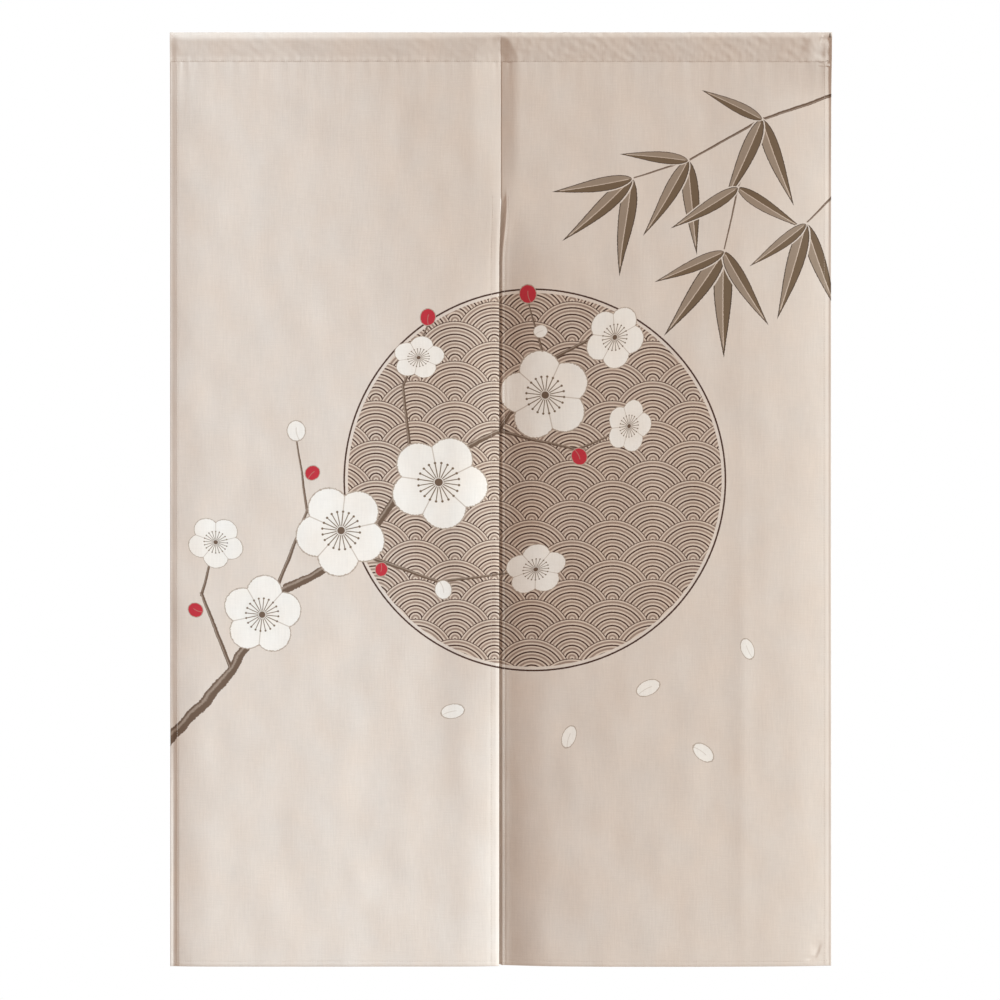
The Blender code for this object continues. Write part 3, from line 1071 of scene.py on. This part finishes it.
def noise(tree, x, z, scale_x, scale_z, detail=2.0, seed=0.0):
    """Smooth noise about 0.5 with its own scale each way over the flat cloth."""
    place = node_of(tree, "CombineXYZ")
    tree.links.new((x * scale_x).socket, place.inputs[0])
    tree.links.new((z * scale_z).socket, place.inputs[1])
    place.inputs[2].default_value = seed
    node = node_of(tree, "TexNoise")
    node.inputs["Scale"].default_value = 1.0
    node.inputs["Detail"].default_value = detail
    tree.links.new(place.outputs[0], node.inputs["Vector"])
    return Number(node.outputs["Fac"])


# ---------------------------------------------------------------- print: motifs

# A motif takes the three parts of a stamp's coordinates and a small wobble, and gives its coats, lowest first.


def leaf_motif(u, v, bend, wobble):
    """A bamboo leaf: a blunt base, a long point, a dark rim, a pale midrib and a pale line all round it."""
    across = v - bend * u * u + wobble * 0.10
    outside = abs(across) - ((u**0.6) * math.pi).sine()
    on_length = (-u).below(0.0, 0.01) * u.below(1.0, 0.01)
    halo = outside.below(0.17, 0.03) * (-u).below(0.02, 0.01) * u.below(1.02, 0.01)
    body = outside.below(0.0, 0.03) * on_length
    core = outside.below(-0.10, 0.04) * on_length
    midrib = abs(across).below(0.055, 0.02) * (-u).below(-0.04, 0.01) * u.below(0.90, 0.02)
    light_half = across.below(0.0, 0.05)
    return (
        (halo, CLOTH_COLOUR),
        (body, LEAF_RIM_COLOUR),
        (core, LEAF_COLOUR),
        (core * light_half * 0.30, CREAM_COLOUR),
        (body * midrib * 0.8, CREAM_COLOUR),
    )


def twig_motif(u, v, taper, wobble):
    """A brush stroke that tapers along its length, with rough edges and a lighter streak."""
    across = v + wobble * 1.6
    width = (taper - 1.0) * u + 1.0
    on_length = (-u).below(0.03, 0.01) * u.below(1.03, 0.01)
    body = (abs(across) - width).below(0.0, 0.10) * on_length
    streak = abs(across - 0.35).below(0.22, 0.25)
    return (body, TWIG_COLOUR), (body * streak * 0.35, CREAM_COLOUR)


def bloom_motif(x, y, _, wobble):
    """A plum blossom from the front: five round petals, fine lines between them, stamens and a dark heart."""
    radius = hypotenuse(x, y)
    turn = y.math("ARCTAN2", x)
    petal_turn = turn.folded(math.pi / 5)
    along, across = radius * petal_turn.cosine(), radius * petal_turn.sine()
    edge = (hypotenuse(along - 0.555, across) - 0.445).least(radius - 0.30) + wobble * 0.05
    body = edge.below(0.0, 0.012)
    outline = edge.below(0.026, 0.012)
    between = radius * (-petal_turn + math.pi / 5).sine()
    parting = between.below(0.012, 0.010) * (-radius).below(-0.17, 0.02)
    blush = ((-radius + 0.62) * 1.1).clamped()
    stamen_turn = turn.folded(math.pi / 20)
    stamen_across = radius * stamen_turn.sine()
    stamens = stamen_across.below(0.010, 0.008) * radius.below(0.40, 0.02) * (-radius).below(-0.10, 0.02)
    anthers = hypotenuse(radius * stamen_turn.cosine() - 0.42, stamen_across).below(0.026, 0.012)
    return (
        (outline, PETAL_LINE_COLOUR),
        (body, PETAL_COLOUR),
        (body * blush * 0.30, CREAM_COLOUR),
        (body * parting * 0.65, PETAL_LINE_COLOUR),
        (stamens.most(anthers), LEAF_COLOUR),
        (radius.below(0.085, 0.012), TWIG_COLOUR),
    )


def bud_motif(x, y, red, wobble):
    """A round bud or a fallen petal, white or red, with a fine line round it."""
    radius = hypotenuse(x, y) + wobble * 0.15
    body = radius.below(1.0, 0.06)
    outline = radius.below(1.10, 0.06)
    fold = abs(y + x * x * 0.3).below(0.05, 0.06) * x.below(0.35, 0.1)
    tint = mixed(red, PETAL_COLOUR, RED_COLOUR)
    return (outline, PETAL_LINE_COLOUR), (body, tint), (body * fold * 0.45, PETAL_LINE_COLOUR)


MOTIFS = {"leaf": leaf_motif, "twig": twig_motif, "bloom": bloom_motif, "bud": bud_motif}


def motif_group(kind):
    """A node group that lays a motif over a colour."""
    tree = bpy.data.node_groups.new(kind, "ShaderNodeTree")
    for name, value in (("Under", "Color"), ("Stamp", "Vector"), ("Wobble", "Float")):
        tree.interface.new_socket(name, in_out="INPUT", socket_type="NodeSocket" + value)
    tree.interface.new_socket("Colour", in_out="OUTPUT", socket_type="NodeSocketColor")
    given = tree.nodes.new("NodeGroupInput").outputs
    coats = MOTIFS[kind](*split_vector(given["Stamp"]), Number(given["Wobble"]))
    tree.links.new(painted(given["Under"], *coats), tree.nodes.new("NodeGroupOutput").inputs[0])
    return tree


def wave_rings(x, z):
    """Distance from the middle of the wave scale that shows at a place, in scale radii. Lower rows lie on top."""
    row_height = WAVE_RADIUS / 2
    row = (z / row_height).math("FLOOR")
    distances = []
    for above in (1.0, 0.0, -1.0):
        centre_row = row + above
        shift = abs(centre_row.math("MODULO", 2.0)) * WAVE_RADIUS
        dx = (x + shift).folded(WAVE_RADIUS)
        distances.append(hypotenuse(dx, z - centre_row * row_height) / WAVE_RADIUS)
    shown = distances[0]
    for distance in distances[1:]:
        covers = distance.below(1.0, 0.001)
        shown = covers * distance + (-covers + 1.0) * shown
    return shown


def disc_print(x, z, under, wobble):
    """The disc of waves with its outline, over the colour under."""
    dx, dz = x - DISC_CENTRE[0], z + DISC_CENTRE[1]
    out = hypotenuse(dx, dz) + wobble * 0.0006
    phase = (wave_rings(dx, dz) * WAVE_RINGS + wobble * 0.05).math("FRACT")
    line = (-abs(phase - 0.5) + 0.5).below(0.115, 0.05)
    mauve = abs(phase - 0.52).below(0.15, 0.06)
    inner = out.below(DISC_RADIUS - RIM_GAP, 0.0004)
    rim = abs(out - DISC_RADIUS).below(RIM_LINE / 2, 0.0004)
    waves = painted(CREAM_COLOUR, (mauve, MAUVE_COLOUR), (line, LINE_COLOUR))
    return painted(under, (inner, waves), (rim, LINE_COLOUR))


def add_layer(tree, group, attribute, under, wobble):
    """Lays one layer of stamps over a colour."""
    node = node_of(tree, "Group", node_tree=group)
    place = node_of(tree, "Attribute", attribute_name=attribute)
    sockets = (under, place.outputs["Vector"], wobble.socket)
    for socket, slot in zip(sockets, node.inputs):
        tree.links.new(socket, slot)
    return node.outputs[0]


def print_colour(tree, x, z, bare):
    """The whole printed pattern over the bare cloth's colour."""
    wobble = noise(tree, x, z, 420.0, 420.0, 1.0, 3.0) - 0.5
    rough = wobble * 0.25 + (noise(tree, x, z, 26.0, 26.0, 3.0, 8.0) - 0.5)
    groups = {kind: motif_group(kind) for kind in MOTIFS}
    colour = disc_print(x, z, bare, wobble)
    for layer, stamps in print_layers().items():
        kind = stamps[0].kind
        colour = add_layer(tree, groups[kind], layer, colour, rough if kind == "twig" else wobble)
    return colour


# ---------------------------------------------------------------- materials


def scaled(tree, colour, factor):
    """A colour made lighter or darker by a number."""
    node = node_of(tree, "VectorMath", operation="SCALE")
    tree.links.new(colour, node.inputs[0])
    tree.links.new(factor.socket, node.inputs["Scale"])
    return node.outputs[0]


def weave_height(x, z):
    """Plain weave: over one, under one. Between 0 and 1."""
    across, along = ((place * (math.pi / YARN_PITCH)).sine() for place in (x, z))
    over = across * along
    return abs(across) * (over * 0.5 + 0.5) + abs(along) * (over * -0.5 + 0.5)


def new_material(name, **values):
    """A material, its tree and its shader's inputs, with these values. In their names _ stands for a space."""
    material = bpy.data.materials.new(name)
    material.use_nodes = True
    inputs = material.node_tree.nodes["Principled BSDF"].inputs
    for socket, value in values.items():
        inputs[socket.replace("_", " ")].default_value = value
    return material, material.node_tree, inputs


def cloth_material(name, printed):
    """Linen-look cloth: uneven yarns both ways, a plain weave and faint clouding, with or without the print."""
    material, tree, inputs = new_material(
        name, Roughness=0.88, Specular_IOR_Level=0.25, Sheen_Weight=0.08, Sheen_Roughness=0.5
    )
    x, z, _ = split_vector(node_of(tree, "UVMap", uv_map="flat").outputs[0])

    warp = noise(tree, x, z, 430.0, 42.0, 3.0, 1.0) - 0.5
    weft = noise(tree, x, z, 60.0, 560.0, 2.0, 2.0) - 0.5
    cloud = noise(tree, x, z, 22.0, 14.0, 4.0, 5.0) - 0.5
    weave = weave_height(x, z)

    bare = node_of(tree, "RGB").outputs[0]
    bare.default_value = (*CLOTH_COLOUR, 1.0)
    colour = bare
    if printed:
        wrong = Number(node_of(tree, "Attribute", attribute_name="wrong_side").outputs["Fac"])
        colour = mixed(wrong * BACK_PALER, print_colour(tree, x, z, bare), bare)
    tint = (noise(tree, x, z, 24.0, 17.0, 2.0, 6.0) * 2.4 - 0.7).clamped()
    toned = node_of(tree, "VectorMath", operation="MULTIPLY")
    tree.links.new(colour, toned.inputs[0])
    tree.links.new(mixed(tint, TINT_WARM, TINT_COOL), toned.inputs[1])
    shade = warp * 0.12 + weft * 0.07 + cloud * 0.10 + weave * 0.06 + 0.962
    tree.links.new(scaled(tree, toned.outputs[0], shade), inputs["Base Color"])

    height = weave * 0.05 + (warp + weft) * 0.10
    relief = node_of(tree, "Bump")
    relief.inputs["Strength"].default_value = 0.8
    relief.inputs["Distance"].default_value = 0.001
    tree.links.new(height.socket, relief.inputs["Height"])
    tree.links.new(relief.outputs[0], inputs["Normal"])
    return material


def thread_material(name, thread_colour):
    """Sewing thread: a fine twist across it."""
    material, tree, inputs = new_material(name, Roughness=0.6)
    x, _, z = split_vector(node_of(tree, "TexCoord").outputs["Object"])
    twist = ((x + z) * (2 * math.pi / TWIST_PITCH)).sine() * 0.5 + 0.5
    colour = mixed(twist, thread_colour, tuple(0.86 * part for part in thread_colour))
    tree.links.new(colour, inputs["Base Color"])
    return material


# ---------------------------------------------------------------- stage


def add_light(lamp, target=(0, 0, 0), roll=0.0):
    """A lamp that faces its target from far off, turned round its own axis by roll."""
    light = bpy.data.lights.new(lamp.name, lamp.kind)
    light.energy = lamp.energy
    light.color = lamp.colour
    turn, rise = math.radians(lamp.azimuth), math.radians(lamp.elevation)
    away = Vector((math.sin(turn) * math.cos(rise), -math.cos(turn) * math.cos(rise), math.sin(rise)))
    obj = add_object(lamp.name, light)
    obj.location = Vector(target) + away * LAMP_DISTANCE
    obj.rotation_mode = "QUATERNION"
    obj.rotation_quaternion = (-away).to_track_quat("-Z", "Y") @ Quaternion((0, 0, 1), math.radians(roll))
    obj.visible_camera = False
    return light


def add_camera():
    """A very long lens straight in front, as in the photograph."""
    camera = bpy.data.cameras.new("camera")
    camera.lens = CAMERA_LENS
    obj = add_object("camera", camera)
    obj.location = (VIEW_CENTRE[0], -VIEW_WIDTH * CAMERA_LENS / camera.sensor_width, VIEW_CENTRE[1])
    obj.rotation_euler = (math.pi / 2, 0, 0)
    bpy.context.scene.camera = obj


def add_lights():
    """A soft sun from the right, a cool narrow beam from there onto the left panel, and a sun behind."""
    add_light(KEY).angle = math.radians(SUN_ANGLE)
    beam = add_light(BEAM, (BEAM_X, 0.0, VIEW_CENTRE[1]), BEAM_ROLL)
    beam.shape = "RECTANGLE"
    beam.size, beam.size_y = BEAM_SIZE
    beam.spread = math.radians(BEAM_SPREAD)
    add_light(BACK).angle = math.radians(SUN_ANGLE)


def add_world():
    """White to look at, and dimmer and warmer for what lights the cloth, above all from behind."""
    world = bpy.data.worlds.new("studio")
    world.use_nodes = True
    tree = world.node_tree
    background = tree.nodes["Background"]
    _, backward, _ = split_vector(node_of(tree, "TexCoord").outputs["Generated"])
    light = mixed(backward.below(0.25, 0.5), WORLD_BEHIND, WORLD_LIGHT)
    seen = Number(node_of(tree, "LightPath").outputs["Is Camera Ray"])
    tree.links.new(mixed(seen, light, (1.0, 1.0, 1.0)), background.inputs["Color"])
    background.inputs["Strength"].default_value = 1.0
    bpy.context.scene.world = world


def add_floor():
    """A plain pale round floor below the picture, fading out at its edge."""
    place = (0, 0, FLOOR_Z)
    bpy.ops.mesh.primitive_circle_add(vertices=96, radius=FLOOR_RADIUS, fill_type="NGON", location=place)
    floor = bpy.context.object
    floor.name = "floor"
    material, tree, inputs = new_material("floor", Base_Color=(0.86, 0.86, 0.86, 1.0), Roughness=0.8)
    x, y, _ = split_vector(node_of(tree, "TexCoord").outputs["Object"])
    tree.links.new(hypotenuse(x, y).below(*FLOOR_FADE).socket, inputs["Alpha"])
    floor.data.materials.append(material)


# ---------------------------------------------------------------- all together


def main():
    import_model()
    bpy.context.scene.view_settings.view_transform = "Standard"

    panel_cloth = cloth_material("printed_linen", printed=True)
    plain_cloth = cloth_material("plain_linen", printed=False)
    thread = thread_material("sewing_thread", THREAD_COLOUR)
    # Thread for the tacks, whose dark colour is painted shade at the pocket's right end.
    thread_painted_shade = thread_material("thread_painted_shade", TACK_PAINTED_SHADE_COLOUR)

    for panel in (LEFT, RIGHT):
        cloth = make_panel(panel, panel_cloth)
        sewing = join_stitches(panel.node + "_stitches", panel_stitch_rows(panel), thread)
        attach(cloth, "root")
        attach(sewing, "root")
        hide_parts(panel.node)

    pocket = make_pocket(plain_cloth)
    pocket_sewing = join_stitches("rod_pocket_stitches", pocket_stitch_rows(), thread)
    # Thread bars at the pocket's right end, dark with painted shade.
    tacks = join_stitches("rod_pocket_tacks_painted_shade", [tack(*place) for place in TACKS], thread_painted_shade)
    allowance = make_seam_allowance(plain_cloth)
    for piece in (pocket, pocket_sewing, tacks, allowance):
        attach(piece, "root")
    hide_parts("rod_pocket")

    add_camera()
    add_lights()
    add_world()
    add_floor()


main()
